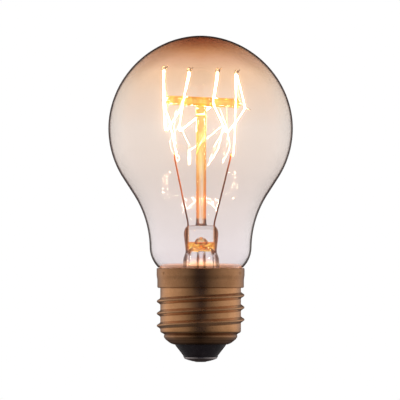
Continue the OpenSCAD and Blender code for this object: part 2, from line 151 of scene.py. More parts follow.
def tube(path, radius, sides, flat=None):
    """A closed round tube. radius is one number or a function of the share of the length."""
    verts, faces = [], []
    fr = frames(path)
    m = len(path)
    for i, (p, (t, n, b)) in enumerate(zip(path, fr)):
        s = i / (m - 1)
        r = radius(s) if callable(radius) else radius
        for k in range(sides):
            a = 2 * math.pi * k / sides
            u, v = r * math.cos(a), r * math.sin(a)
            if flat:
                u, v = u * flat(s)[0], v * flat(s)[1]
            verts.append(add(p, add(mul(n, u), mul(b, v))))
    for i in range(m - 1):
        for k in range(sides):
            j = (k + 1) % sides
            faces.append((i * sides + k, i * sides + j, (i + 1) * sides + j, (i + 1) * sides + k))
    faces.append(tuple(reversed(range(sides))))
    faces.append(tuple((m - 1) * sides + k for k in range(sides)))
    return verts, faces


def lathe(profile, n):
    """A closed outline of (radius, height) turned round the lamp's axis."""
    verts, rings, faces = [], [], []
    for r, z in profile:
        if r < 1e-6:
            rings.append([len(verts)] * n)
            verts.append((0.0, 0.0, z))
        else:
            rings.append(list(range(len(verts), len(verts) + n)))
            verts += [(r * math.cos(2 * math.pi * k / n), r * math.sin(2 * math.pi * k / n), z) for k in range(n)]
    m = len(profile)
    for i in range(m):
        a, b = rings[i], rings[(i + 1) % m]
        for k in range(n):
            j = (k + 1) % n
            f = []
            for v in (a[k], b[k], b[j], a[j]):
                if v not in f:
                    f.append(v)
            if len(f) > 2:
                faces.append(tuple(f))
    return verts, faces


def join(*parts):
    verts, faces = [], []
    for v, f in parts:
        o = len(verts)
        verts += v
        faces += [tuple(i + o for i in face) for face in f]
    return verts, faces


def smooth_line(points, per, closed=False):
    """Catmull-Rom through 2-D or 3-D points."""
    out = []
    m = len(points)
    for i in range(m - 1):
        p0, p1, p2, p3 = points[max(i - 1, 0)], points[i], points[i + 1], points[min(i + 2, m - 1)]
        for k in range(per):
            t = k / per
            out.append(tuple(
                0.5 * (2 * b + (c - a) * t + (2 * a - 5 * b + 4 * c - d) * t * t + (3 * b - a - 3 * c + d) * t ** 3)
                for a, b, c, d in zip(p0, p1, p2, p3)))
    out.append(tuple(points[-1]))
    return out


def piece(name, mesh, nodes, material, sharp=35, flip_check=True):
    """A smooth mesh that stands for the given CAD nodes."""
    verts, faces = mesh
    me = bpy.data.meshes.new(name)
    me.from_pydata([(x * MM, y * MM, z * MM) for x, y, z in verts], [], faces)
    if flip_check:
        bm = bmesh.new()
        bm.from_mesh(me)
        bmesh.ops.recalc_face_normals(bm, faces=bm.faces)
        bm.to_mesh(me)
        bm.free()
    me.polygons.foreach_set("use_smooth", [True] * len(me.polygons))
    if sharp:
        me.set_sharp_from_angle(angle=math.radians(sharp))
    me.update()
    ob = bpy.data.objects.new(name, me)
    bpy.context.scene.collection.objects.link(ob)
    me.materials.append(material)
    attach(ob, "root")
    if nodes:
        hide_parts(*nodes)
    return ob


# ---------------------------------------------------------------------------
# Material helpers
# ---------------------------------------------------------------------------


class Mat:
    """A small wrapper round one Principled material's node tree."""

    def __init__(self, name):
        self.m = bpy.data.materials.new(name)
        self.m.use_nodes = True
        self.t = self.m.node_tree
        self.p = self.t.nodes["Principled BSDF"]
        self.out = self.t.nodes["Material Output"]
        self.co = self.n("ShaderNodeTexCoord").outputs["Object"]

    def n(self, kind, **props):
        node = self.t.nodes.new(kind)
        for k, v in props.items():
            setattr(node, k, v)
        return node

    def link(self, a, b):
        self.t.links.new(a, b)

    def set(self, **values):
        for k, v in values.items():
            self.p.inputs[k.replace("_", " ")].default_value = v

    def noise(self, scale, detail=3.0, rough=0.5, stretch=None, distortion=0.0):
        src = self.co
        if stretch:
            mp = self.n("ShaderNodeMapping")
            mp.inputs["Scale"].default_value = stretch
            self.link(src, mp.inputs["Vector"])
            src = mp.outputs["Vector"]
        t = self.n("ShaderNodeTexNoise")
        t.inputs["Scale"].default_value = scale
        t.inputs["Detail"].default_value = detail
        t.inputs["Roughness"].default_value = rough
        t.inputs["Distortion"].default_value = distortion
        self.link(src, t.inputs["Vector"])
        return t.outputs["Fac"]

    def ramp(self, fac, stops, mode="LINEAR"):
        r = self.n("ShaderNodeValToRGB")
        r.color_ramp.interpolation = mode
        els = r.color_ramp.elements
        while len(els) > 1:
            els.remove(els[-1])
        for i, (pos, col) in enumerate(stops):
            e = els[0] if i == 0 else els.new(pos)
            e.position = pos
            e.color = (*col, 1) if len(col) == 3 else col
        self.link(fac, r.inputs["Fac"])
        return r.outputs["Color"]

    def span(self, value, a, b, c, d):
        r = self.n("ShaderNodeMapRange")
        for key, v in (("From Min", a), ("From Max", b), ("To Min", c), ("To Max", d)):
            r.inputs[key].default_value = v
        self.link(value, r.inputs["Value"])
        return r.outputs["Result"]

    def blend(self, fac, a, b, mode="MIX"):
        m = self.n("ShaderNodeMix", data_type="RGBA", blend_type=mode)
        for key, v in ((0, fac), (6, a), (7, b)):
            if hasattr(v, "is_output"):
                self.link(v, m.inputs[key])
            elif key == 0:
                m.inputs[0].default_value = v
            else:
                m.inputs[key].default_value = (*v, 1) if len(v) == 3 else v
        return m.outputs[2]

    def maths(self, op, a, b=None, c=None, clamp=False):
        m = self.n("ShaderNodeMath", operation=op, use_clamp=clamp)
        for i, v in enumerate((a, b, c)):
            if v is None:
                continue
            if hasattr(v, "is_output"):
                self.link(v, m.inputs[i])
            else:
                m.inputs[i].default_value = v
        return m.outputs[0]

    def height(self):
        """Height above the contact in millimetres."""
        s = self.n("ShaderNodeSeparateXYZ")
        self.link(self.co, s.inputs[0])
        return self.maths("MULTIPLY", s.outputs["Z"], 1000.0)

    def beside(self):
        """Distances from the stem's axis in millimetres: sideways only, and round about."""
        s = self.n("ShaderNodeSeparateXYZ")
        self.link(self.co, s.inputs[0])
        x = self.maths("SUBTRACT", self.maths("MULTIPLY", s.outputs["X"], 1000.0), STEM_X)
        y = self.maths("MULTIPLY", s.outputs["Y"], 1000.0)
        round_about = self.maths("SQRT", self.maths("ADD", self.maths("MULTIPLY", x, x), self.maths("MULTIPLY", y, y)))
        return self.maths("ABSOLUTE", x), round_about

    def radius(self):
        """Distance from the lamp's axis in millimetres."""
        s = self.n("ShaderNodeSeparateXYZ")
        self.link(self.co, s.inputs[0])
        x, y = s.outputs["X"], s.outputs["Y"]
        return self.maths("MULTIPLY", self.maths("SQRT", self.maths("ADD", self.maths("MULTIPLY", x, x), self.maths("MULTIPLY", y, y))), 1000.0)

    def facing(self):
        w = self.n("ShaderNodeLayerWeight")
        w.inputs["Blend"].default_value = 0.5
        return w.outputs["Facing"]

    def bump(self, height, strength, distance):
        b = self.n("ShaderNodeBump")
        b.inputs["Strength"].default_value = strength
        b.inputs["Distance"].default_value = distance
        self.link(height, b.inputs["Height"])
        self.link(b.outputs["Normal"], self.p.inputs["Normal"])
        return b


# ---------------------------------------------------------------------------
# Materials
# ---------------------------------------------------------------------------


def tinted_glass():
    """Clear glass tinted amber by height, deepest at the crown, with thin dark outlines of painted shade where it is
    seen edge-on.
    """
    m = Mat("tinted_glass")
    m.set(Roughness=0.0, IOR=1.52, Transmission_Weight=1.0)
    # amber tint by height, deepest at the crown
    amber_by_height = m.ramp(m.span(m.height(), 28, 98, 0, 1), [
        (0.03, (0.905, 0.86, 0.87)), (0.37, (0.895, 0.832, 0.80)), (0.60, (0.93, 0.855, 0.80)),
        (0.743, (0.955, 0.825, 0.72)), (0.839, (0.975, 0.78, 0.615)), (0.89, (0.88, 0.635, 0.475)),
        (0.933, (0.785, 0.482, 0.290)), (0.966, (0.565, 0.238, 0.116)), (0.986, (0.40, 0.075, 0.010))])
    f = m.facing()
    # painted shade: the colour drops to near black where the glass is seen edge-on, a little sooner on the neck and
    # only on the outer skin, as thin dark outlines
    neck = m.ramp(m.span(m.height(), 36, 58, 0, 1), [(0.0, (1, 1, 1)), (1.0, (0, 0, 0))])
    edge = m.ramp(m.maths("ADD", f, m.maths("MULTIPLY", neck, 0.065)), [
        (0.0, (1, 1, 1)), (0.45, (1, 1, 1)), (0.55, (0.96, 0.965, 0.97)), (0.65, (0.91, 0.915, 0.92)), (0.745, (0.80, 0.79, 0.79)),
        (0.79, (0.42, 0.38, 0.36)), (0.805, (0.07, 0.055, 0.05)),
        (0.82, (0.010, 0.006, 0.005)), (0.85, (0.002, 0.001, 0.001)), (1.0, (0.0005, 0.0003, 0.0002))])
    skin = m.n("ShaderNodeAttribute", attribute_name="skin").outputs["Fac"]
    edge = m.blend(skin, (1, 1, 1), edge)
    slant = m.ramp(f, [(0.0, (1, 1, 1)), (0.07, (0.985, 0.985, 0.99)), (0.17, (0.96, 0.96, 0.965)), (0.27, (0.965, 0.965, 0.975)),
                       (0.40, (0.98, 0.97, 0.97)), (0.60, (0.94, 0.965, 0.98))])
    deep = m.ramp(f, [(0.42, (1, 1, 1)), (0.58, (0.84, 0.76, 0.68)), (0.67, (0.88, 0.76, 0.69))])
    crown = m.ramp(m.span(m.height(), 82, 88, 0, 1), [(0.0, (0, 0, 0)), (1.0, (1, 1, 1))])
    slant = m.blend(crown, slant, m.blend(1.0, slant, deep, "MULTIPLY"))
    high = m.ramp(m.span(m.height(), 62, 72, 0, 1), [(0.0, (0, 0, 0)), (1.0, (1, 1, 1))])
    edge = m.blend(high, edge, m.blend(1.0, edge, slant, "MULTIPLY"))
    m.link(m.blend(1.0, amber_by_height, edge, "MULTIPLY"), m.p.inputs["Base Color"])
    return m.m


def rod_glass():
    """Drawn glass rod: painted light, amber where the filament's light fills it, paler further down,
    with orange edges of painted light, fine streaks along it and a foot darkened with painted shade."""
    m = Mat("rod_glass")
    m.set(Roughness=0.0, IOR=1.5, Transmission_Weight=1.0)
    f = m.facing()
    z = m.height()
    streak = m.noise(900, 2.0, 0.5, (1, 1, 0.06), 0.3)
    patch = m.noise(520, 2.0, 0.5, (1, 1, 0.22), 0.6)
    # painted light and shade: the orange and amber edges stand for the filament's light in the glass, and the foot's
    # brown-black edges are painted shade
    top = m.ramp(f, [(0.0, (1.0, 0.86, 0.38)), (0.10, (1.0, 0.80, 0.30)), (0.22, (1.0, 0.56, 0.11)),
                     (0.60, (0.95, 0.48, 0.08)), (0.85, (1.0, 0.80, 0.35)), (1.0, (1.0, 0.88, 0.50))])
    bar = m.ramp(f, [(0.0, (1.0, 0.74, 0.20)), (0.14, (1.0, 0.66, 0.14)), (0.30, (1.0, 0.46, 0.05)),
                     (0.60, (0.95, 0.40, 0.05)), (0.85, (1.0, 0.75, 0.28)), (1.0, (1.0, 0.88, 0.50))])
    top = m.blend(m.ramp(m.span(z, 74.0, 75.8, 0, 1), [(0.0, (0, 0, 0)), (1.0, (1, 1, 1))]), top, bar)
    middle = m.ramp(f, [(0.0, (1.0, 0.92, 0.84)), (0.05, (1.0, 0.88, 0.76)), (0.09, (0.98, 0.52, 0.18)),
                        (0.16, (0.90, 0.33, 0.06)), (0.50, (0.66, 0.19, 0.03)), (0.85, (0.95, 0.58, 0.26)), (1.0, (1.0, 0.80, 0.55))])
    foot = m.ramp(f, [(0.0, (1.0, 0.97, 0.96)), (0.06, (0.98, 0.90, 0.86)), (0.11, (0.40, 0.14, 0.06)),
                      (0.40, (0.10, 0.03, 0.012)), (1.0, (0.08, 0.025, 0.01))])
    up = m.ramp(m.span(z, 49, 64, 0, 1), [(0.0, (0, 0, 0)), (1.0, (1, 1, 1))], "EASE")
    down = m.ramp(m.span(z, 42.3, 43.2, 0, 1), [(0.0, (1, 1, 1)), (1.0, (0, 0, 0))], "EASE")
    tone = m.blend(down, m.blend(up, middle, top), foot)
    light = m.ramp(streak, [(0.38, (0.96, 0.62, 0.30)), (0.48, (1, 0.95, 0.88)), (0.60, (1.0, 1.0, 1.0))])
    m.link(m.blend(0.8, tone, light, "MULTIPLY"), m.p.inputs["Base Color"])
    # painted light: the rod glows amber in lumps, strongest high up, as the filament's light led along it; the foot
    # does not glow
    glow = m.ramp(patch, [(0.42, (0.05, 0.015, 0.0)), (0.50, (0.30, 0.13, 0.01)), (0.56, (0.90, 0.62, 0.14)), (0.66, (1.0, 0.86, 0.40))])
    warm = m.blend(down, m.ramp(patch, [(0.45, (0.22, 0.07, 0.01)), (0.62, (0.30, 0.12, 0.03))]), (0.0, 0.0, 0.0))
    m.link(m.blend(up, warm, glow), m.p.inputs["Emission Color"])
    m.set(Emission_Strength=0.34)
    m.bump(m.blend(0.5, streak, patch), 0.35, 0.00012)
    return m.m


def press_glass():
    """Pinched glass: clear in the middle, painted shade in dark brown along its sides, painted amber light under the
    dome, and a pale flare below with thin brown outlines of painted shade; its glow is painted light."""
    m = Mat("press_glass")
    m.set(Roughness=0.0, IOR=1.5, Transmission_Weight=1.0)
    # painted reflection: the reflections are tinted orange-brown, as the lamp's light in the stem
    m.p.inputs["Specular Tint"].default_value = (0.55, 0.20, 0.08, 1)
    z = m.height()
    aside, about = m.beside()
    wave = m.noise(760, 2.0, 0.5, (1, 1, 1.5), 1.4)
    # painted shade: the press darkens to deep brown towards its sides
    sides = m.ramp(m.span(aside, 3.0, 5.4, 0, 1), [
        (0.0, (0.99, 0.98, 0.98)), (0.20, (0.98, 0.92, 0.88)), (0.30, (0.62, 0.24, 0.09)),
        (0.46, (0.24, 0.065, 0.02)), (0.75, (0.12, 0.025, 0.008)), (1.0, (0.07, 0.012, 0.004))])
    # painted shade: thin brown-black outlines where the flare and the pump tube are seen edge-on
    lines = m.ramp(m.facing(), [
        (0.0, (0.99, 0.97, 0.98)), (0.30, (0.98, 0.93, 0.92)), (0.37, (0.45, 0.25, 0.18)),
        (0.43, (0.035, 0.007, 0.003)), (0.60, (0.015, 0.002, 0.0007)), (1.0, (0.01, 0.001, 0.0005))])
    pump = m.ramp(m.facing(), [
        (0.0, (0.99, 0.97, 0.98)), (0.06, (0.97, 0.90, 0.88)), (0.12, (0.30, 0.11, 0.06)),
        (0.20, (0.06, 0.008, 0.002)), (0.55, (0.06, 0.008, 0.002)), (0.75, (0.30, 0.12, 0.06)), (1.0, (0.6, 0.4, 0.3))])
    lines = m.blend(m.span(about, 1.6, 1.7, 0, 1), pump, m.blend(m.span(about, 4.6, 4.75, 0, 1), (0.99, 0.97, 0.98), lines))
    lines = m.blend(m.span(about, 1.05, 1.15, 0, 1), (0.99, 0.97, 0.98), lines)
    body = m.blend(m.span(z, 31.6, 33.0, 0, 1), lines, sides)
    # painted light: amber lumps in a band below the dome, the lamp's light led down the rod
    amber = m.ramp(wave, [(0.36, (0.45, 0.10, 0.006)), (0.43, (0.88, 0.30, 0.025)), (0.49, (1.0, 0.56, 0.09)), (0.57, (1.0, 0.82, 0.26))])
    amber = m.blend(m.ramp(m.span(z, 35.0, 35.6, 0, 1), [(0.0, (0, 0, 0)), (1.0, (1, 1, 1))]), amber, (0.86, 0.27, 0.035))
    band = m.ramp(m.span(z, 32.4, 36.4, 0, 1), [(0.18, (0, 0, 0)), (0.36, (1, 1, 1)), (0.80, (1, 1, 1)), (0.86, (0, 0, 0))])
    body = m.blend(band, body, m.blend(1.0, body, amber, "MULTIPLY"))
    lip = m.ramp(m.span(z, 40.35, 40.65, 0, 1), [(0.0, (0, 0, 0)), (1.0, (1, 1, 1))])
    body = m.blend(lip, body, (0.72, 0.40, 0.26))
    near = m.ramp(m.span(about, 1.9, 2.2, 0, 1), [(0.0, (1, 1, 1)), (1.0, (0, 0, 0))])
    tall = m.ramp(m.span(z, 33.6, 34.4, 0, 1), [(0.0, (0, 0, 0)), (1.0, (1, 1, 1))])
    # painted light: an amber-orange tone round the hollow's dome, as the lamp's light gathered in it
    dome_tone = m.ramp(m.span(z, 35.2, 37.3, 0, 1), [(0.0, (0.85, 0.40, 0.16)), (0.25, (1.0, 0.80, 0.52)), (1.0, (0.88, 0.62, 0.22))])
    shown = m.maths("MULTIPLY", m.maths("MULTIPLY", near, tall), m.ramp(z_cap(m, z), [(0.0, (1, 1, 1)), (1.0, (0, 0, 0))]))
    m.link(m.blend(shown, body, dome_tone), m.p.inputs["Base Color"])
    # painted light: a warm glow low on the flare, weaker over the pump tube
    low = m.ramp(m.span(z, 27.6, 30.6, 0, 1), [(0.20, (0, 0, 0)), (0.26, (1.0, 0.55, 0.20)), (0.45, (1.0, 0.66, 0.30)),
                                               (0.62, (0.35, 0.20, 0.10)), (0.85, (0, 0, 0))])
    glow = m.blend(m.span(about, 1.6, 1.7, 0.55, 0.0), low, (0, 0, 0))
    # the lamp's own light, led down the rod, shows along the sides and in the amber lumps
    piped = m.ramp(m.span(aside, 3.0, 5.4, 0, 1), [(0.20, (0, 0, 0)), (0.38, (0.36, 0.11, 0.025)), (0.62, (0.50, 0.17, 0.05)), (0.90, (0.05, 0.01, 0.005))])
    piped = m.blend(m.span(z, 32.2, 33.6, 0, 1), (0, 0, 0), piped)
    glow = m.blend(1.0, glow, piped, "ADD")
    glow = m.blend(1.0, glow, m.blend(band, (0, 0, 0), m.ramp(wave, [(0.40, (0.10, 0.02, 0.0)), (0.56, (0.50, 0.24, 0.04))])), "ADD")
    m.link(glow, m.p.inputs["Emission Color"])
    m.set(Emission_Strength=0.24)
    m.bump(wave, 0.25, 0.00012)
    return m.m


def z_cap(m, z):
    return m.span(z, 37.4, 37.6, 0, 1)


def wire_metal(name, light, dark, rough):
    m = Mat(name)
    m.set(Metallic=1.0)
    g = m.noise(2600, 4.0, 0.6, (1, 1, 0.25))
    m.link(m.ramp(g, [(0.32, dark), (0.68, light)]), m.p.inputs["Base Color"])
    m.link(m.span(m.noise(5200, 2.0), 0.3, 0.7, rough - 0.07, rough + 0.1), m.p.inputs["Roughness"])
    m.bump(g, 0.25, 0.00003)
    return m.m


def lead_metal(name, low, high):
    """Oxidised wire, dark brown, copper towards its tip, brightened there with painted light from the filament."""
    m = Mat(name)
    m.set(Metallic=1.0)
    g = m.noise(2600, 4.0, 0.6, (1, 1, 0.25))
    dark = m.ramp(g, [(0.32, (0.15, 0.040, 0.015)), (0.68, (0.28, 0.090, 0.035))])
    copper_lit_tip = m.ramp(g, [(0.32, (0.62, 0.13, 0.025)), (0.68, (0.80, 0.22, 0.05))])
    w = m.ramp(m.span(m.height(), low, high, 0, 1), [(0.0, (0, 0, 0)), (1.0, (1, 1, 1))], "EASE")
    m.link(m.blend(w, dark, copper_lit_tip), m.p.inputs["Base Color"])
    m.link(m.span(m.noise(5200, 2.0), 0.3, 0.7, 0.28, 0.45), m.p.inputs["Roughness"])
    m.bump(g, 0.25, 0.00003)
    return m.m


def hot_wire():
    m = Mat("filament")
    m.set(Metallic=1.0, Roughness=0.4)
    lp = m.n("ShaderNodeLightPath")
    m.link(m.maths("MULTIPLY_ADD", m.maths("MULTIPLY", lp.outputs["Is Reflection Ray"], lp.outputs["Is Glossy Ray"]), 150.0, 6.0),
           m.p.inputs["Emission Strength"])
    m.p.inputs["Base Color"].default_value = (0.30, 0.27, 0.24, 1)
    m.link(m.ramp(m.noise(160, 2.0), [(0.3, (1.0, 0.78, 0.52)), (0.7, (1.0, 0.83, 0.60))]),
           m.p.inputs["Emission Color"])
    return m.m


def aged_brass():
    """Rolled sheet, browned: fine grain, rolling marks round the shell, and small dark spots."""
    m = Mat("aged_brass")
    grain = m.noise(3400, 5.0, 0.65)
    cloud = m.noise(240, 4.0, 0.55)
    lines = m.noise(900, 3.0, 0.6, (0.12, 0.12, 5.0))
    tone = m.ramp(cloud, [(0.25, (0.55, 0.265, 0.115)), (0.5, (0.66, 0.325, 0.147)), (0.75, (0.79, 0.405, 0.197))])
    tone = m.blend(m.span(grain, 0.35, 0.7, 0.0, 0.42), tone, (0.34, 0.160, 0.078))
    tone = m.blend(m.span(lines, 0.5, 0.75, 0.0, 0.22), tone, (0.87, 0.51, 0.27))
    spots = m.ramp(m.noise(1100, 2.0, 0.5), [(0.70, (0, 0, 0)), (0.76, (1, 1, 1))])
    tone = m.blend(m.maths("MULTIPLY", spots, 0.5), tone, (0.12, 0.06, 0.035))
    # the thread's rolled grooves are the brightest, the band and the turned-in bottom are duller
    height_tone = m.ramp(m.span(m.height(), 6.0, 24.0, 0, 1), [
        (0.0, (0.50, 0.50, 0.55)), (0.11, (0.55, 0.55, 0.58)), (0.19, (0.84, 0.84, 0.80)), (0.26, (1, 1, 1)), (0.895, (1, 1, 1)),
        (0.92, (0.71, 0.70, 0.71)), (1.0, (0.71, 0.70, 0.71))])
    tone = m.blend(1.0, tone, height_tone, "MULTIPLY")
    # painted highlight: the ridges' sides are painted paler, as light falling on them
    sides = m.ramp(m.span(m.radius(), 12.0, 13.1, 0, 1), [(0.10, (0, 0, 0)), (0.30, (1, 1, 1)), (0.60, (1, 1, 1)), (0.82, (0.15, 0.15, 0.15))])
    flank_highlight = m.maths("MULTIPLY", sides, m.span(m.height(), 22.1, 21.9, 0, 1), clamp=True)
    tone = m.blend(m.maths("MULTIPLY", flank_highlight, 0.75), tone, (0.86, 0.60, 0.40))
    # inside the rim a film of cement covers the sheet
    smear = m.maths("MULTIPLY", m.span(m.radius(), 12.83, 12.80, 0, 1), m.span(m.height(), 25.2, 25.4, 0, 1), clamp=True)
    m.link(m.blend(smear, tone, (0.74, 0.48, 0.31)), m.p.inputs["Base Color"])
    # painted light: the cement film inside the rim glows, brighter towards the top, as the lamp's light on it
    lit = m.ramp(m.span(m.height(), 26.9, 27.8, 0, 1), [(0.0, (0.20, 0.07, 0.025)), (0.5, (0.70, 0.39, 0.24)), (0.95, (1.0, 0.78, 0.66))])
    m.link(m.blend(smear, (0, 0, 0), lit), m.p.inputs["Emission Color"])
    m.set(Emission_Strength=0.85)
    m.link(m.maths("SUBTRACT", 1.0, smear), m.p.inputs["Metallic"])
    rough = m.maths("ADD", m.span(grain, 0.3, 0.7, 0.22, 0.36), m.span(cloud, 0.3, 0.7, -0.03, 0.06))
    m.link(m.maths("ADD", rough, m.maths("MULTIPLY", smear, 0.4)), m.p.inputs["Roughness"])
    h = m.maths("ADD", m.maths("MULTIPLY", grain, 0.6), m.maths("MULTIPLY", lines, 0.6))
    m.bump(h, 0.22, 0.00004)
    return m.m


def contact_brass():
    m = Mat("contact_brass")
    m.set(Metallic=1.0)
    grain = m.noise(2500, 5.0, 0.6)
    cloud = m.noise(420, 3.0, 0.5)
    tone = m.ramp(cloud, [(0.3, (0.15, 0.085, 0.055)), (0.7, (0.28, 0.17, 0.105))])
    tone = m.blend(m.span(grain, 0.4, 0.7, 0, 0.5), tone, (0.08, 0.05, 0.04))
    # the crown of the contact is tinned
    m.link(m.blend(m.span(m.height(), 1.9, 1.2, 0, 1), tone, (0.62, 0.54, 0.54)), m.p.inputs["Base Color"])
    m.link(m.span(grain, 0.3, 0.7, 0.28, 0.5), m.p.inputs["Roughness"])
    m.bump(grain, 0.3, 0.00004)
    return m.m


def black_glass():
    """Moulded black glass: glossy, with faint flow marks and a little dust."""
    m = Mat("black_glass")
    flow = m.noise(500, 3.0, 0.5, (1, 1, 2.5), 1.2)
    dust = m.noise(4200, 2.0, 0.5)
    tone = m.ramp(flow, [(0.3, (0.0075, 0.0055, 0.0070)), (0.7, (0.014, 0.0105, 0.0125))])
    m.link(m.blend(m.ramp(dust, [(0.70, (0, 0, 0)), (0.78, (0.14, 0.14, 0.14))]), tone, (0.06, 0.05, 0.045)),
           m.p.inputs["Base Color"])
    m.set(IOR=1.52)
    m.p.inputs["Specular IOR Level"].default_value = 0.14
    m.link(m.span(dust, 0.35, 0.75, 0.12, 0.30), m.p.inputs["Roughness"])
    m.bump(flow, 0.3, 0.00012)
    return m.m


def cement():
    m = Mat("cement")
    g = m.noise(1500, 6.0, 0.65)
    m.link(m.ramp(g, [(0.3, (0.52, 0.28, 0.14)), (0.55, (0.66, 0.40, 0.24)), (0.75, (0.80, 0.56, 0.38))]),
           m.p.inputs["Base Color"])
    m.set(Roughness=0.85)
    # the lamp's own light soaks through the upper end of the ring
    m.link(m.ramp(m.span(m.height(), 26.0, 27.6, 0, 1), [(0.0, (0, 0, 0)), (0.5, (0.26, 0.11, 0.05)), (0.95, (0.80, 0.50, 0.36))]),
           m.p.inputs["Emission Color"])
    m.set(Emission_Strength=0.8)
    m.bump(g, 0.5, 0.0001)
    return m.m


def solder():
    m = Mat("solder")
    m.set(Metallic=1.0)
    g = m.noise(900, 4.0, 0.55)
    m.link(m.ramp(g, [(0.3, (0.26, 0.235, 0.215)), (0.7, (0.46, 0.43, 0.40))]), m.p.inputs["Base Color"])
    m.link(m.span(g, 0.3, 0.7, 0.30, 0.55), m.p.inputs["Roughness"])
    m.bump(g, 0.5, 0.0002)
    return m.m


STEM_X, LEAD_X, LOW_X = 0.16, 3.9, 3.7
GLASS = tinted_glass()
ROD_GLASS = rod_glass()
PRESS_GLASS = press_glass()
HOOK = wire_metal("hook_wire", (0.42, 0.30, 0.21), (0.20, 0.12, 0.08), 0.38)
LEAD_LEFT = lead_metal("lead_wire_left", 44, 50)
LEAD_RIGHT = lead_metal("lead_wire_right", 55, 60)
COPPER = wire_metal("copper_wire", (0.32, 0.12, 0.055), (0.14, 0.05, 0.022), 0.42)
FUSE = wire_metal("fuse_wire", (0.26, 0.14, 0.10), (0.12, 0.06, 0.045), 0.42)
HOT = hot_wire()
BRASS = aged_brass()
CONTACT = contact_brass()
BLACK = black_glass()
CEMENT = cement()
SOLDER = solder()

# ---------------------------------------------------------------------------
# Glass envelope: the same outline as the CAD's, with many more points
# ---------------------------------------------------------------------------
GLOBE_R, TOP, CROWN_POWER = 27.45, 97.1, 1.95
NECK_R, NECK_Z, SWEEP_R, SHOULDER_R = 15.15, 33.6, 30.0, 8.8
GLOBE_Z = TOP - GLOBE_R - 0.05
CROWN_H = TOP - GLOBE_Z
SWEEP_X = NECK_R + SWEEP_R
GAP = math.hypot(SWEEP_X, NECK_Z - GLOBE_Z)
LEAN = math.atan2(NECK_Z - GLOBE_Z, SWEEP_X) + math.acos((GLOBE_R + SWEEP_R) / GAP)
SHOULDER_Z, SHOULDER_X = NECK_Z + 0.7, NECK_R - SHOULDER_R
TURN = math.asin((SHOULDER_Z - NECK_Z) / SWEEP_R)
SEAL_R, SEAL_Z = 11.3, 19.6
SHOULDER_END = math.acos((SEAL_R + 0.15 - SHOULDER_X) / SHOULDER_R)


def envelope_profile():
    out = []
    for i in range(73):
        h = CROWN_H * math.cos(math.pi / 2 * i / 72)
        out.append((0.0 if i == 0 else GLOBE_R * (1 - (h / CROWN_H) ** CROWN_POWER) ** (1 / CROWN_POWER), GLOBE_Z + h))
    for i in range(1, 37):
        a = LEAN * i / 36
        out.append((GLOBE_R * math.cos(a), GLOBE_Z + GLOBE_R * math.sin(a)))
    for i in range(43):
        a = math.pi + LEAN - (LEAN + TURN) * i / 42
        out.append((SWEEP_X + SWEEP_R * math.cos(a), NECK_Z + SWEEP_R * math.sin(a)))
    for i in range(1, 37):
        a = -SHOULDER_END * i / 36
        out.append((SHOULDER_X + SHOULDER_R * math.cos(a), SHOULDER_Z + SHOULDER_R * math.sin(a)))
    out += [(SEAL_R, SHOULDER_Z - SHOULDER_R * math.sin(SHOULDER_END) - 0.6), (SEAL_R, SEAL_Z)]
    inner = []
    last = len(out) - 1
    for i, (r, z) in enumerate(out):
        t = 0.9 + (0.55 - 0.9) * min(1, max(0, (z - 22) / 9))
        if i == 0:
            inner.append((0.0, z - t))
            continue
        if i == last:
            d = (0.0, -1.0)
        else:
            p, q = out[i - 1], out[i + 1]
            a = (r - p[0], z - p[1])
            b = (q[0] - r, q[1] - z)
            la, lb = math.hypot(*a), math.hypot(*b)
            d = (a[0] / la + b[0] / lb, a[1] / la + b[1] / lb)
            ld = math.hypot(*d)
            d = (d[0] / ld, d[1] / ld)
        inner.append((r + t * d[1], z - t * d[0]))
    return out + inner[::-1]


globe = piece("envelope", lathe(envelope_profile(), 240), ["glass_envelope"], GLASS, sharp=50)
# marks the outer skin, so that its material can tell it from the inner one
skin = globe.data.attributes.new("skin", "FLOAT", "POINT")
for v in globe.data.vertices:
    out = v.normal.x * v.co.x + v.normal.y * v.co.y + v.normal.z * (v.co.z - min(v.co.z, GLOBE_Z * MM))
    skin.data[v.index].value = 1.0 if out > 0 else 0.0

# ---------------------------------------------------------------------------
# Stem: flare with its press, pump tube, rod and crossbar
# ---------------------------------------------------------------------------
FLARE_OUTER = [
    (20.0, 10.22, 10.22, 2), (20.5, 10.22, 10.22, 2), (20.9, 9.4, 9.4, 2), (21.8, 8.0, 8.0, 2),
    (23.2, 6.8, 6.8, 2), (25.2, 6.0, 6.0, 2), (27.5, 5.6, 5.6, 2), (29.3, 5.4, 5.4, 2),
    (30.5, 5.3, 4.9, 2), (31.7, 5.0, 4.0, 2.1), (32.9, 4.67, 3.0, 2.3), (34.4, 4.78, 2.6, 2.6),
    (36.8, 5.05, 2.5, 2.8), (38.2, 5.15, 2.45, 2.8), (39.4, 4.95, 2.3, 2.8), (40.2, 4.5, 2.05, 2.6),
    (40.6, 4.0, 1.8, 2.4)]
FLARE_INNER = [
    (20.0, 9.4, 9.4, 2), (20.6, 8.6, 8.6, 2), (21.5, 7.2, 7.2, 2), (23.2, 5.8, 5.8, 2),
    (25.2, 5.0, 5.0, 2), (27.5, 4.6, 4.6, 2), (29.5, 4.4, 4.4, 2), (31.2, 4.15, 3.6, 2),
    (32.4, 3.6, 2.4, 2.1), (33.4, 3.2, 1.5, 2.2), (33.9, 2.8, 0.9, 2.2)]


def oval(z, a, b, power, sides):
    ring = []
    for k in range(sides):
        t = 2 * math.pi * k / sides
        c, s = math.cos(t), math.sin(t)
        ring.append((STEM_X + a * math.copysign(abs(c) ** (2 / power), c), b * math.copysign(abs(s) ** (2 / power), s), z))
    return ring


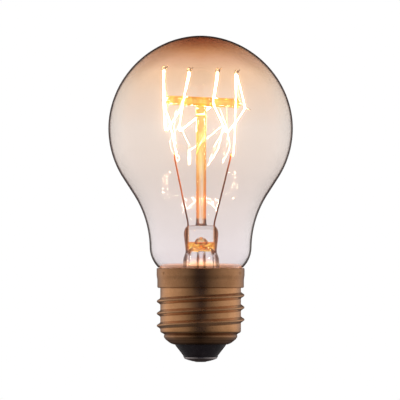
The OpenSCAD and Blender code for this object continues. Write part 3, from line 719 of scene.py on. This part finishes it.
def flare_mesh(sides=96):
    outer = smooth_line(FLARE_OUTER, 6)
    inner = smooth_line(FLARE_INNER, 6)
    # soft caps: the press's top edge and the roof of the hollow are rounded over
    outer += [(40.68, 3.5, 1.45, 2.3), (40.72, 2.4, 0.95, 2.2), (40.73, 1.0, 0.4, 2.0)]
    inner += [(34.1, 2.3, 0.62, 2.2), (34.2, 1.4, 0.35, 2.1), (34.23, 0.5, 0.15, 2.0)]
    verts, faces = [], []
    stacks = outer[::-1] + inner
    for q in stacks:
        verts += oval(*q, sides)
    for i in range(len(stacks) - 1):
        for k in range(sides):
            j = (k + 1) % sides
            faces.append((i * sides + k, i * sides + j, (i + 1) * sides + j, (i + 1) * sides + k))
    faces.append(tuple(range(sides)))
    faces.append(tuple((len(stacks) - 1) * sides + k for k in range(sides)))
    return verts, faces


flare = piece("flare_and_press", flare_mesh(), ["stem_flare"], PRESS_GLASS, sharp=60)


def cutter(mesh):
    verts, faces = mesh
    me = bpy.data.meshes.new("cutter")
    me.from_pydata([(x * MM, y * MM, z * MM) for x, y, z in verts], [], faces)
    bm = bmesh.new()
    bm.from_mesh(me)
    bmesh.ops.recalc_face_normals(bm, faces=bm.faces)
    bm.to_mesh(me)
    bm.free()
    ob = bpy.data.objects.new("cutter", me)
    bpy.context.scene.collection.objects.link(ob)
    return ob


def cut(ob, meshes, sharp):
    """Cuts closed shapes out of a piece, and applies it."""
    tools = [cutter(mesh) for mesh in meshes]
    for t in tools:
        md = ob.modifiers.new("cut", "BOOLEAN")
        md.operation, md.solver, md.object = "DIFFERENCE", "EXACT", t
    bpy.context.view_layer.update()
    dg = bpy.context.evaluated_depsgraph_get()
    done = bpy.data.meshes.new_from_object(ob.evaluated_get(dg))
    ob.modifiers.clear()
    old = ob.data
    ob.data = done
    done.name = old.name + "_cut"
    for t in tools:
        bpy.data.objects.remove(t)
    done.polygons.foreach_set("use_smooth", [True] * len(done.polygons))
    done.set_sharp_from_angle(angle=math.radians(sharp))
    done.update()


def shift(mesh, d):
    return [add(v, d) for v in mesh[0]], mesh[1]


bubble = smooth_line([(0.0, 33.6), (0.8, 33.7), (0.8, 34.7), (1.7, 35.0), (2.0, 35.5), (1.75, 36.25), (1.1, 37.0), (0.0, 37.4)], 5)
bubble = [(max(r, 0.0), z) for r, z in bubble]
bubble[0], bubble[-1] = (0.0, 33.6), (0.0, 37.3)
hole = tube([(STEM_X, 0.9, 36.0), (STEM_X, 3.0, 36.0)], 0.6, 32)
cut(flare, [shift(lathe(bubble, 48), (STEM_X, 0, 0)), hole], 50)

PUMP_R = 1.4
pump_profile = (
    [(0.0, 12.6), (0.35, 12.6), (0.9, 13.2), (1.22, 13.8), (PUMP_R, 14.6)]
    + [(PUMP_R, 15 + 1.15 * i) for i in range(15)] + [(PUMP_R, 32.2), (1.45, 32.6), (1.25, 33.0), (0.95, 33.0), (0.8, 32.6)]
    + [(0.8, 31 - 1.3 * i) for i in range(12)] + [(0.8, 15.4), (0.55, 14.9), (0.3, 14.6), (0.0, 14.4)])
piece("pump_tube", shift(lathe(pump_profile, 64), (STEM_X, 0, 0)), ["exhaust_tube"], PRESS_GLASS, sharp=50)

BAR_L, BAR_R, BAR_ZL, BAR_ZR, BAR_D, ROD_D = -10.3, 12.0, 77.95, 76.9, 2.85, 3.1
LEAN_BAR = (BAR_ZR - BAR_ZL) / (BAR_R - BAR_L)


def bar_z(x):
    return BAR_ZL + (x - BAR_L) * LEAN_BAR


def bar_mesh(sides=56):
    """A hand-drawn bar: its thickness wanders a little and its ends are fire-polished."""
    length = math.hypot(BAR_R - BAR_L, BAR_ZR - BAR_ZL)
    a, b = (BAR_L, 0, BAR_ZL), (BAR_R, 0, BAR_ZR)
    path, radii = [], []
    n = 120
    for i in range(n + 1):
        s = i / n
        # close points near the ends, where it turns in
        u = 0.5 - 0.5 * math.cos(math.pi * s)
        path.append(add(a, mul(sub(b, a), u)))
        d = min(u, 1 - u) * length
        r = BAR_D / 2 * (1 - 0.022 * (1 + math.sin(u * 17 + 0.6)) / 2 - 0.012 * (1 + math.sin(u * 41)) / 2)
        if d < 1.1:
            r *= max(0.02, math.sqrt(max(0.0, 1 - (1 - d / 1.1) ** 2.6)))
        radii.append(r)
    return tube(path, lambda s: radii[round(s * n)], sides)


piece("crossbar", bar_mesh(), ["arbor_crossbar"], ROD_GLASS, sharp=60)


def rod_mesh(sides=56):
    """The rod flows out into the press below and into the bar above."""
    top = bar_z(STEM_X) - 0.55
    path, radii = [], []
    n = 150
    for i in range(n + 1):
        z = 40.6 + (top - 40.6) * (i / n) ** 1.5
        r = ROD_D / 2 * (1 - 0.018 * (1 + math.sin(z * 0.9)) / 2 - 0.01 * (1 + math.sin(z * 2.3 + 1)) / 2)
        r += 0.42 * math.exp(-(z - 40.6) / 0.4)
        path.append((STEM_X, 0, z))
        radii.append(r)
    return tube(path, lambda s: radii[round(s * n)], sides)


piece("rod", rod_mesh(), ["arbor_rod"], ROD_GLASS, sharp=60)

# ---------------------------------------------------------------------------
# Filament: one fine wire wound into a coil along the CAD's path
# ---------------------------------------------------------------------------
TOP_BEND = [(-10.9, 0, 86.85), (-3.4, 0, 86.35), (5.05, 0, 86.2), (10.65, 0, 85.65)]
LOW_BEND = [(-10.15, -1.9, 68.8), (-6, 2.1, 68.7), (7.9, -1.9, 68.3)]
K1B, K1F = (-10.75, 1.9, 76.3), (-11.05, -1.3, 77.9)
K2F, K2B = (-5.4, -1.9, 76.2), (-5.4, 1.9, 76.2)
K3F, K3B = (3.65, -1.9, 77.1), (3.6, 1.9, 76.45)
K4 = (13.3, -0.5, 75.5)
TILT = [0.25, 0.42, 0.45, 0.75]
END_L, END_R = (-7.05, 0, 61.3), (9.7, 0, 61.3)
NEXT_L, NEXT_R = (-9.5, 1.3, 72.8), (10.2, -1.1, 68)
TOP_FOOT = [-9.95, -4.5, 3.85, 11.3]
TOP_PASS = [(-10.55, 0, 80.7), (-4.35, 0, 80.7), (4.1, 0, 80.6), (11.15, 0, 80.3)]
MID_FOOT = [-9.0, -5.65, 2.85]
LOW_FOOT = [-9.9, -6.1, 7.7]


def over(i, s):
    return bow(sub(TOP_BEND[i], (0, 0, 0.6)), 0.6, 0, 180, mul(unit((TILT[i], 1, 0)), s), Z, 8)


def under(p):
    return bow(add(p, (0, 0, 0.45)), 0.45, 180, 360, X, Z, 8)


filament_line = (
    [END_L, NEXT_L, K1B] + over(0, 1) + [K1F] + under(LOW_BEND[0]) + [K2F] + over(1, -1)
    + [K2B] + under(LOW_BEND[1]) + [K3B] + over(2, 1) + [K3F] + under(LOW_BEND[2]) + [(10.75, -1.3, 71.6), K4]
    + over(3, 1) + [(10.55, -1.9, 78.6), (10.3, -1.8, 75), NEXT_R, END_R])


def coil_mesh(line, coil_r=0.168, wire_r=0.05, pitch=0.2, turn=9, sides=5):
    axis = soften(resample(line, 0.1), 3, 2)
    step = pitch / turn
    axis = resample(axis, step)
    fr = frames(axis)
    path = []
    for i, (p, (t, n, b)) in enumerate(zip(axis, fr)):
        a = 2 * math.pi * i / turn
        path.append(add(p, add(mul(n, coil_r * math.cos(a)), mul(b, coil_r * math.sin(a)))))
    return tube(path, wire_r, sides)


piece("filament_coil", coil_mesh(filament_line), ["filament"], HOT, sharp=None, flip_check=False)

# ---------------------------------------------------------------------------
# Support hooks and leads
# ---------------------------------------------------------------------------
HOOK_R, LOOP_R = 0.13, 0.5


def wire(name, node, points, radius, material, sides=14, soft=2, flat=None):
    line = soften(resample(points, 0.08), soft, 2)
    return piece(name, tube(line, radius, sides, flat), [node], material, sharp=50)


for i in range(4):
    foot = (TOP_FOOT[i], 0, bar_z(TOP_FOOT[i]) + 0.35)
    p = TOP_BEND[i]
    v, w = unit((1, -TILT[i], 0)), unit((TILT[i], 1, 0))
    pts = [foot, add(foot, (0, 0, 1.15)), TOP_PASS[i]]
    for k in range(21):
        a = math.radians(-80 - 330 * k / 20)
        pts.append(add(add(p, mul(v, LOOP_R * 1.15 * math.cos(a))),
                       add(mul(w, 0.15 - 0.3 * k / 20), (0, 0, 0.25 + LOOP_R * 1.9 * math.sin(a)))))
    pts += [add(add(p, mul(v, 0.85)), add(mul(w, -0.17), (0, 0, 0.75))),
            add(add(p, mul(v, 1.35)), add(mul(w, -0.18), (0, 0, 1.3)))]
    wire("hook_top_%d" % (i + 1), "top_hook_%d" % (i + 1), pts, HOOK_R, HOOK)

for i, away in enumerate((1, -1, 1)):
    foot = (LOW_FOOT[i], 0, bar_z(LOW_FOOT[i]) - 0.35)
    p = LOW_BEND[i]
    pts = [foot, sub(foot, (0, 0, 1.6))] + bow(p, LOOP_R, 20, -190, mul(Y, away), Z, 16) + [add(p, (0, -away * 0.75, 0.5))]
    wire("hook_low_%d" % (i + 1), "bottom_hook_%d" % (i + 1), pts, HOOK_R, HOOK)


def through(x):
    return [(x, -1.55, bar_z(x)), (x, -1.2, bar_z(x)), (x, 1.2, bar_z(x)), (x, 1.55, bar_z(x))]


mid_paths = [
    bow(K1F, LOOP_R, 140, 310, X, Y, 14) + [(-10.2, -1.75, 77.88), (-9.4, -1.78, 77.88)] + through(MID_FOOT[0])
    + [(-9.25, 1.8, 77.4), (-9.85, 1.9, 76.8)] + bow(add(K1B, (0, 0, 0.1)), LOOP_R, 10, 215, X, Y, 14),
    bow(add(K2F, (0, 0, 0.1)), LOOP_R, 30, -170, X, Y, 16) + [(MID_FOOT[1] - 0.1, -1.85, 76.9)] + through(MID_FOOT[1])
    + [(MID_FOOT[1] - 0.1, 1.85, 76.9)] + bow(add(K2B, (0, 0, 0.1)), LOOP_R, 170, -30, X, Y, 16),
    bow((K3F[0], K3F[1], bar_z(MID_FOOT[2])), LOOP_R, 30, -170, X, Y, 16) + [(MID_FOOT[2], -1.75, bar_z(MID_FOOT[2]))]
    + through(MID_FOOT[2]) + [(MID_FOOT[2], 1.85, 77)] + bow(add(K3B, (0, 0, 0.2)), LOOP_R, 170, -30, X, Y, 16),
    [(BAR_R - 0.95, 0, bar_z(BAR_R - 1)), (BAR_R + 0.15, 0, bar_z(BAR_R - 1)), (12.5, -0.1, bar_z(BAR_R - 1) - 0.4),
     (12.75, -0.25, bar_z(BAR_R - 1) - 1)] + bow(K4, LOOP_R, 160, 20, X, Y, 10) + [(14.2, -0.6, 75.3), (14.8, -0.8, 75.1)],
]
for i, pts in enumerate(mid_paths):
    wire("hook_middle_%d" % (i + 1), "middle_hook_%d" % (i + 1), pts, HOOK_R, HOOK)


def lead(name, node, s, knee, coil, nxt, reach, material):
    """The lead's tip closes round the back of the filament's leg from the left."""
    p = add(coil, mul(unit(sub(nxt, coil)), 0.5))
    out = [(STEM_X + s * LEAD_X, 0, 39.8), (STEM_X + s * LEAD_X, 0, 40.9), knee, sub(p, (reach, 0, 1.1)), sub(p, (reach, 0, 0.4))]
    for k in range(13):
        a = math.radians(180 - 12.5 * k)
        q = mix(reach, 0.47, k / 12)
        out.append(add(p, (q * math.cos(a), q * math.sin(a), 0)))
    line = soften(resample(out, 0.06), 3, 2)
    total = len(line)

    def thick(t):
        left = (1 - t) * total * 0.06
        return mix(0.2, 0.25, min(1.0, max(0.0, (left - 1.6) / 0.8)))

    piece(name, tube(line, thick, 16), [node], material, sharp=50)


lead("lead_left", "inner_lead_left", -1, (-3.8, 0, 41.8), END_L, NEXT_L, 0.6, LEAD_LEFT)
lead("lead_right", "inner_lead_right", 1, (4.15, 0, 41.8), END_R, NEXT_R, 0.85, LEAD_RIGHT)

for s, side_name in ((-1, "left"), (1, "right")):
    high, low = STEM_X + s * LEAD_X, STEM_X + s * LOW_X
    wire("seal_" + side_name, "seal_wire_" + side_name, [(low, 0, 32.4), (high, 0, 35), (high, 0, 39.8)], 0.25, COPPER)

wire("lead_to_rim", "side_lead",
     [(STEM_X - LOW_X, 0, 32.37), (STEM_X - LOW_X, 0, 26), (-3.2, 1.5, 21), (-2, 6, 17.6), (-0.6, 9.6, 17), (0, 11.1, 17.6),
      (0, 11.45, 18.8), (0, 11.45, 26.2), (0, 11.75, 26.9), (0, 12.4, 27.35), (0, 12.7, 27.66), (0, 13.05, 27.68),
      (0, 13.3, 27.5), (0, 13.32, 27.2)], 0.13, COPPER)
wire("lead_to_contact", "centre_lead",
     [(STEM_X + LOW_X, 0, 32.37), (STEM_X + LOW_X, 0, 24), (3.4, 0.4, 18), (2.6, 0.6, 12), (0.9, 0.3, 7), (0.2, 0, 4.5),
      (0, 0, 3), (0, 0, 1.3)], 0.15, FUSE, soft=6)

# ---------------------------------------------------------------------------
# Cap
# ---------------------------------------------------------------------------
ROOT_R, RIDGE_H, PITCH, RIDGE_HW, SHEET, RIM_R, BAND_R, CREST_Z = 12.0, 1.06, 3.629, 1.1, 0.3, 13.08, 12.88, 8.986


def ease(u):
    v = min(1.0, max(0.0, u))
    return v * v * (3 - 2 * v)


def thread_r(t, z):
    u = z - CREST_Z - PITCH * t / 360
    d = u - PITCH * math.floor(u / PITCH + 0.5)
    c = z - d
    run = ease((c - CREST_Z) / (PITCH / 2)) * (1 - ease((c - CREST_Z - 3 * PITCH) / (PITCH / 2)))
    return ROOT_R + (RIDGE_H * run * (0.5 + 0.5 * math.cos(math.pi * d / RIDGE_HW)) if abs(d) < RIDGE_HW else 0)


def mark_depth(x, y, z):
    """How far the three punch marks press the rim in at a point on it."""
    deep = 0.0
    for a in (-147, -26.5, 94.5):
        c = (RIM_R * math.cos(math.radians(a)), RIM_R * math.sin(math.radians(a)), 26.4)
        deep = max(deep, 0.2 * (1 - (norm(sub((x, y, z), c)) / 0.46) ** 2))
    return deep


def shell_mesh(n=360, rows=230):
    """One skin, outside and inside, from the turned-in bottom edge to the rim."""
    bead = smooth_line([(7.9, 5.2), (8.75, 5.5), (9.35, 5.85), (10, 6.38), (10.35, 6.65), (10.78, 7.2), (10.92, 7.5),
                        (10.92, 7.85), (10.78, 8.15)], 5)
    taper = smooth_line([(10.78, 8.15), (11.15, 8.45), (11.7, 8.75), (11.97, 9.05), (12.0, 9.3)], 5)[1:]
    outer = [("p", r, z) for r, z in [(7.62, 5.2)] + bead + taper]
    outer += [("t", 0.0, 9.3 + (22.0 - 9.3) * i / rows) for i in range(1, rows + 1)]
    rim = [(12.05, 22.03), (12.48, 22.05), (12.66, 22.08), (12.78, 22.18), (12.85, 22.3), (BAND_R, 22.5), (BAND_R, 23.3),
           (BAND_R, 24.1), (12.89, 24.5), (12.92, 24.8), (12.97, 25.1), (13.02, 25.4), (13.06, 25.65)] + [
           (RIM_R, 25.9 + 0.1 * i) for i in range(11)] + [(RIM_R, 27.1), (RIM_R, 27.6), (RIM_R - 0.03, 27.78), (RIM_R - 0.1, 27.9), (RIM_R - 0.2, 27.95), (RIM_R - 0.27, 27.9)]
    outer += [("p", r, z) for r, z in rim]
    inner = [("p", RIM_R - SHEET, 27.8), ("p", RIM_R - SHEET, 25.4), ("p", BAND_R - SHEET, 25.1), ("p", BAND_R - SHEET, 22.5),
             ("p", BAND_R - SHEET - 0.1, 22.4), ("p", ROOT_R - SHEET - 0.05, 22.35)]
    inner += [("i", 0.0, 22.0 - (22.0 - 9.3) * i / 80) for i in range(1, 81)]
    inner += [("p", r, z) for r, z in [(11.35, 9.05), (10.75, 8.6), (10.42, 8.15), (10.58, 7.8), (10.58, 7.58), (10.48, 7.32),
                                       (10.12, 6.95), (9.78, 6.66), (9.15, 6.12), (8.6, 5.82), (7.62, 5.52)]]
    verts, faces = [], []
    rings = outer + inner
    for kind, r, z in rings:
        for k in range(n):
            t = 360.0 * k / n
            q = r if kind == "p" else thread_r(t, z) - (SHEET if kind == "i" else 0)
            x, y = q * math.cos(math.radians(t)), q * math.sin(math.radians(t))
            if q == RIM_R:
                q -= mark_depth(x, y, z)
                x, y = q * math.cos(math.radians(t)), q * math.sin(math.radians(t))
            h = min(z, 27.42) if abs(x) < 0.28 and y > 12.4 else z  # notch for the side lead
            verts.append((x, y, h))
    m = len(rings)
    for i in range(m):
        a, b = i * n, ((i + 1) % m) * n
        for k in range(n):
            j = (k + 1) % n
            faces.append((a + k, a + j, b + j, b + k))
    return verts, faces


piece("shell", shell_mesh(), ["screw_shell"], BRASS, sharp=40)

CURVE, CONTACT_T = 11.5, 0.35


def dome(r):
    return r * r / (2 * CURVE)


SHELL_FLOOR = [(7.62, 5.2), (7.62, 5.52), (8.6, 5.82), (9.15, 6.12), (9.78, 6.66), (10.12, 6.95), (10.48, 7.32),
               (10.58, 7.58), (10.58, 7.8), (10.42, 8.15)]
insulator_profile = (
    [(1.25, dome(1.25) + CONTACT_T), (1.65, dome(1.65) + CONTACT_T), (2.5, dome(2.5) + CONTACT_T),
     (3.6, dome(3.6) + CONTACT_T), (4.6, dome(4.6) + CONTACT_T), (4.95, 1.36), (5.03, 1.40), (5.07, 1.47), (5.12, 1.64),
     (5.17, 1.84), (5.21, 1.95), (5.29, 2.08), (5.40, 2.22), (5.62, 2.50), (6.2, 3.25), (6.9, 4.15), (7.38, 4.76),
     (7.47, 4.90), (7.5, 4.98)]
    + SHELL_FLOOR + [(9.6, 8.9), (8.6, 8.6), (4, 6.2), (2.2, 5.4), (1.25, 5.4)])
piece("insulator_glass", lathe(insulator_profile, 192), ["insulator"], BLACK, sharp=40)

contact_profile = (
    [(1.1, dome(1.1))] + [(1.1 + 3.5 * i / 14, dome(1.1 + 3.5 * i / 14)) for i in range(1, 15)]
    + [(4.78, 1.0), (4.87, 1.08), (4.92, 1.17), (4.945, 1.27), (4.95, 1.36)]
    + [(4.6 - 3.35 * i / 10, dome(4.6 - 3.35 * i / 10) + CONTACT_T) for i in range(11)] + [(1.1, dome(1.25) + CONTACT_T)])
piece("contact", lathe(contact_profile, 160), ["centre_contact"], CONTACT, sharp=40)

for node, mat in (("basing_cement", CEMENT), ("tip_solder", SOLDER), ("rim_solder", SOLDER)):
    ob = NODES[node]
    ob.data.materials.clear()
    ob.data.materials.append(mat)

# ---------------------------------------------------------------------------
# Floor, well under the lamp
# ---------------------------------------------------------------------------
me = bpy.data.meshes.new("floor")
ring = [(0.55 * math.cos(2 * math.pi * k / 96), 0.55 * math.sin(2 * math.pi * k / 96), -0.075) for k in range(96)]
me.from_pydata(ring, [], [tuple(range(96))])
floor = bpy.data.objects.new("floor", me)
bpy.context.scene.collection.objects.link(floor)
fm = bpy.data.materials.new("floor")
fm.use_nodes = True
fm.node_tree.nodes["Principled BSDF"].inputs["Base Color"].default_value = (0.86, 0.86, 0.86, 1)
fm.node_tree.nodes["Principled BSDF"].inputs["Roughness"].default_value = 0.9
me.materials.append(fm)
floor.visible_glossy = False

# ---------------------------------------------------------------------------
# Studio: a white room, with a dark strip behind the camera and dark above and
# below, which only mirror-like surfaces see
# ---------------------------------------------------------------------------
scene = bpy.context.scene
world = bpy.data.worlds.new("studio")
scene.world = world
world.use_nodes = True
wt = world.node_tree
wt.nodes.clear()


def wn(kind, **props):
    node = wt.nodes.new(kind)
    for k, v in props.items():
        setattr(node, k, v)
    return node


def wm(op, a, b=None):
    m = wn("ShaderNodeMath", operation=op)
    for i, v in enumerate((a, b)):
        if v is None:
            continue
        if hasattr(v, "is_output"):
            wt.links.new(v, m.inputs[i])
        else:
            m.inputs[i].default_value = v
    return m.outputs[0]


def wramp(fac, stops):
    r = wn("ShaderNodeValToRGB")
    els = r.color_ramp.elements
    while len(els) > 1:
        els.remove(els[-1])
    for i, (pos, v) in enumerate(stops):
        e = els[0] if i == 0 else els.new(pos)
        e.position = pos
        e.color = (v, v, v, 1) if isinstance(v, float) else (*v, 1)
    wt.links.new(fac, r.inputs["Fac"])
    return r.outputs["Color"]


tc = wn("ShaderNodeTexCoord")
sx = wn("ShaderNodeSeparateXYZ")
wt.links.new(tc.outputs["Generated"], sx.inputs[0])
azimuth = wm("ARCTAN2", wm("ABSOLUTE", sx.outputs["X"]), wm("MULTIPLY", sx.outputs["Y"], -1.0))  # 0 at the camera
azimuth = wm("DIVIDE", azimuth, math.pi)
round_room = wramp(azimuth, [
    (0.0, (0.026, 0.032, 0.072)), (0.05, (0.036, 0.041, 0.076)), (0.09, (0.080, 0.082, 0.10)), (0.14, 0.20), (0.20, 0.30), (0.256, 0.39),
    (0.356, 0.585), (0.467, 0.65), (0.60, 0.92), (0.66, 0.92), (0.72, 0.80), (0.78, 0.60), (0.83, 0.50), (0.86, (0.40, 0.36, 0.34)),
    (0.89, (0.22, 0.18, 0.17)), (0.93, (0.09, 0.07, 0.065)), (1.0, (0.04, 0.03, 0.03))])
up_down = wramp(wm("ADD", wm("MULTIPLY", sx.outputs["Z"], 0.5), 0.5), [
    (0.0, 0.20), (0.16, 0.26), (0.32, 0.62), (0.44, 1.0), (0.56, 1.0), (0.70, 0.72), (0.86, 0.45), (1.0, 0.35)])
mirror_room = wn("ShaderNodeMix", data_type="RGBA", blend_type="MULTIPLY")
mirror_room.inputs[0].default_value = 1.0
wt.links.new(round_room, mirror_room.inputs[6])
wt.links.new(up_down, mirror_room.inputs[7])
lp = wn("ShaderNodeLightPath")
pick = wn("ShaderNodeMix", data_type="RGBA")
# refracted rays count as glossy too, so both flags are needed to mean "mirrored"
wt.links.new(wm("MULTIPLY", lp.outputs["Is Glossy Ray"], lp.outputs["Is Reflection Ray"]), pick.inputs[0])
pick.inputs[6].default_value = (1, 1, 1, 1)
wt.links.new(mirror_room.outputs[2], pick.inputs[7])
bg = wn("ShaderNodeBackground")
wt.links.new(pick.outputs[2], bg.inputs["Color"])
bg.inputs["Strength"].default_value = 1.0
wo = wn("ShaderNodeOutputWorld")
wt.links.new(bg.outputs[0], wo.inputs["Surface"])

scene.view_settings.view_transform = "Standard"
scene.view_settings.look = "None"
scene.cycles.max_bounces = 28
scene.cycles.transmission_bounces = 24
scene.cycles.glossy_bounces = 12
scene.cycles.transparent_max_bounces = 12
scene.cycles.sample_clamp_indirect = 60.0

# The glowing wire's bloom, as a lens gives it
scene.use_nodes = True
ct = scene.node_tree
ct.nodes.clear()
rl = ct.nodes.new("CompositorNodeRLayers")
gl = ct.nodes.new("CompositorNodeGlare")
gl.glare_type = "BLOOM"
gl.quality = "HIGH"
gl.inputs["Threshold"].default_value = 1.05
gl.inputs["Smoothness"].default_value = 0.1
gl.inputs["Clamp"].default_value = True
gl.inputs["Maximum"].default_value = 5.0
gl.inputs["Tint"].default_value = (1.0, 0.80, 0.52, 1)
gl.inputs["Strength"].default_value = 0.40
gl.inputs["Size"].default_value = 0.25
co = ct.nodes.new("CompositorNodeComposite")
ct.links.new(rl.outputs["Image"], gl.inputs["Image"])
ct.links.new(gl.outputs["Image"], co.inputs["Image"])
